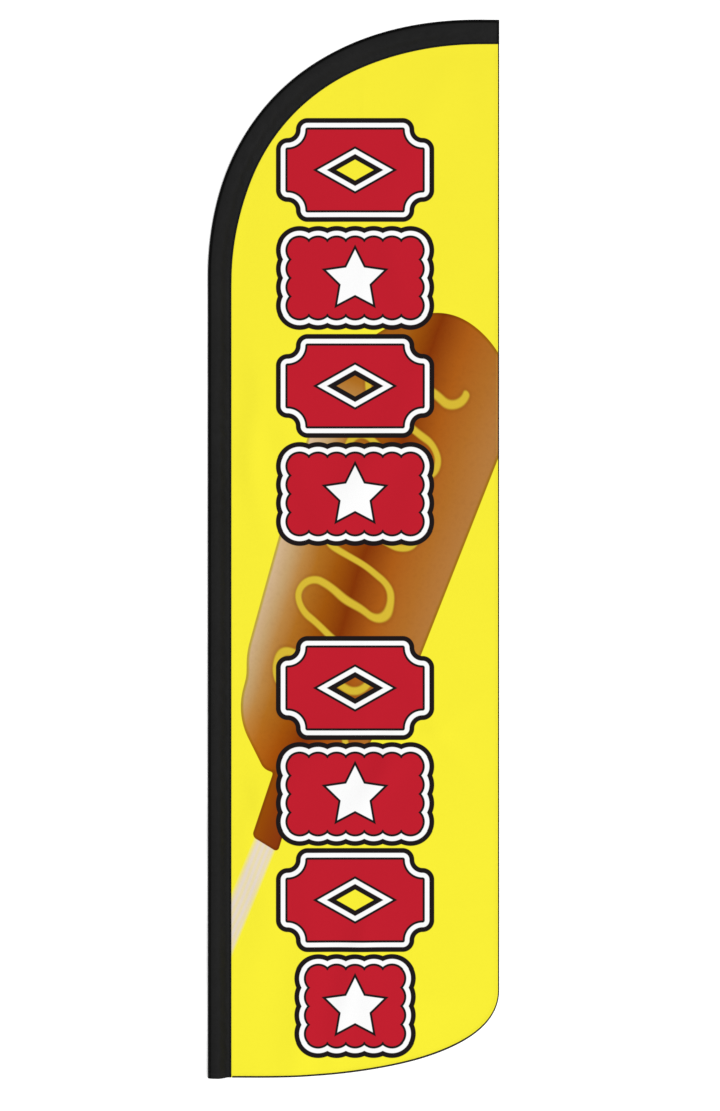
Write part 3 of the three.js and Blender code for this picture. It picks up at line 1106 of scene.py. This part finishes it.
# The overlocked edge: loops of thread round a flat core.
overlock = {
    "width": 0.0046, "height": 0.0018, "pitch": 0.0022, "thread": 0.00045, "lean": 0.0011,
    "coreShare": 0.92,  # of the width, filled by the threads that lie along the edge
    "bottomThickening": 1.5, "thickeningLength": 0.30,
    "belowTip": 0.0003, "besideMouth": 0.0030, "offFloor": 0.0002, "pathStep": 0.010,
    "hemAt": 0.004, "intoHem": 0.0001,  # where the hem's height is taken, and how far the thread sinks
    "tightness": 0.6,  # how far the loops are drawn in, in thread radii
    "ringShare": 0.85, "corners": 8,  # a loop is not quite a whole ring
}


def threadAlong(curve, radius, resolution):
    curve.data.bevel_depth = radius
    curve.data.bevel_resolution = resolution
    curve.data.use_fill_caps = True
    select(curve)
    bpy.ops.object.convert(target="MESH")
    piece = bpy.context.object
    piece.data.materials.append(darkThread)
    return piece


def pressFlat(core, middle, level):
    # The core is drawn round, and is then pressed to the loops' height.
    spots = np.array([tuple(v.co) for v in core.data.vertices])
    along = lengthsAlong(middle)
    place = nearestOn(spots[:, :2], middle, along)[1]
    here = np.interp(place, along, level)
    spots[:, 2] = here + (spots[:, 2] - here) * overlock["height"] / overlock["width"]
    core.data.vertices.foreach_set("co", spots.ravel())


def makeOverlockThread():
    line = freeEdge(overlock)
    cornerAlong = line.at[0, 1] - bottom - outline["bottomCurve"]["rise"]
    thick = smoothStep(cornerAlong, cornerAlong + overlock["thickeningLength"], line.along)
    thick = 1 + (overlock["bottomThickening"] - 1) * thick
    hemLevel = panelHeight.at(line.inset(overlock["hemAt"])) - overlock["intoHem"]
    level = np.maximum(hemLevel, thick * overlock["height"] / 2 + overlock["offFloor"])
    middle = line.inset(thick * overlock["width"] / 2)
    path = pathCurve("overlockPath", withHeight(middle, level), thick)

    # One loop: up from inside the cloth, over, round the edge and back beneath.
    thread = overlock["thread"]
    half, rise = overlock["width"] / 2 - thread, overlock["height"] / 2 - thread * overlock["tightness"]
    lastTurn = overlock["ringShare"] * math.pi
    turns = np.linspace(-lastTurn, lastTurn, overlock["corners"])
    forward = overlock["lean"] * (turns / math.pi + 1)
    ring = np.column_stack([forward, half * np.cos(turns), -rise * np.sin(turns)])
    loop = pathCurve("overlockLoop", ring)
    loop.data.twist_mode = "MINIMUM"
    loops = threadAlong(loop, thread, resolution=0)
    bpy.ops.object.shade_smooth()
    repeatAlong(loops, path, overlock["pitch"])

    core = threadAlong(path, overlock["width"] / 2 * overlock["coreShare"], resolution=1)
    pressFlat(core, middle, level)
    return joined("overlockThread", [loops, core])


overlockThread = makeOverlockThread()
sewOn(overlockThread)
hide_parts("edge_overlock")
print("edge overlocked:", len(overlockThread.data.polygons))


# A pale floor and soft studio light.
lighting = {"sky": 0.443, "sun": 2.13, "sunSoftness": 30, "towardsSun": (0.30, -0.17, 0.94)}
# The floor gives off a little light, so that the flag hardly shadows it.
floorSheet = {"size": 40, "level": -0.0004, "color": (0.93, 0.93, 0.93, 1), "glow": 0.32}


def addFloor():
    bpy.ops.mesh.primitive_plane_add(size=floorSheet["size"], location=(0, 0, floorSheet["level"]))
    floor = bpy.context.object
    floor.name = "floor"
    material, _, shader = newMaterial("paleFloor", Roughness=0.9, Specular_IOR_Level=0.1)
    shader.inputs["Base Color"].default_value = floorSheet["color"]
    shader.inputs["Emission Color"].default_value = (1, 1, 1, 1)
    shader.inputs["Emission Strength"].default_value = floorSheet["glow"]
    floor.data.materials.append(material)


def addLight():
    world = bpy.data.worlds.new("softStudio")
    world.use_nodes = True
    background = world.node_tree.nodes["Background"]
    background.inputs["Color"].default_value = (1, 1, 1, 1)
    background.inputs["Strength"].default_value = lighting["sky"]
    bpy.context.scene.world = world
    data = bpy.data.lights.new("softbox", "SUN")
    data.energy = lighting["sun"]
    data.angle = math.radians(lighting["sunSoftness"])
    lamp = bpy.data.objects.new("softbox", data)
    lamp.rotation_euler = Vector(lighting["towardsSun"]).to_track_quat("Z", "Y").to_euler()
    bpy.context.collection.objects.link(lamp)
    bpy.context.scene.view_settings.view_transform = "Standard"


addFloor()
addLight()
print("floor and light set")
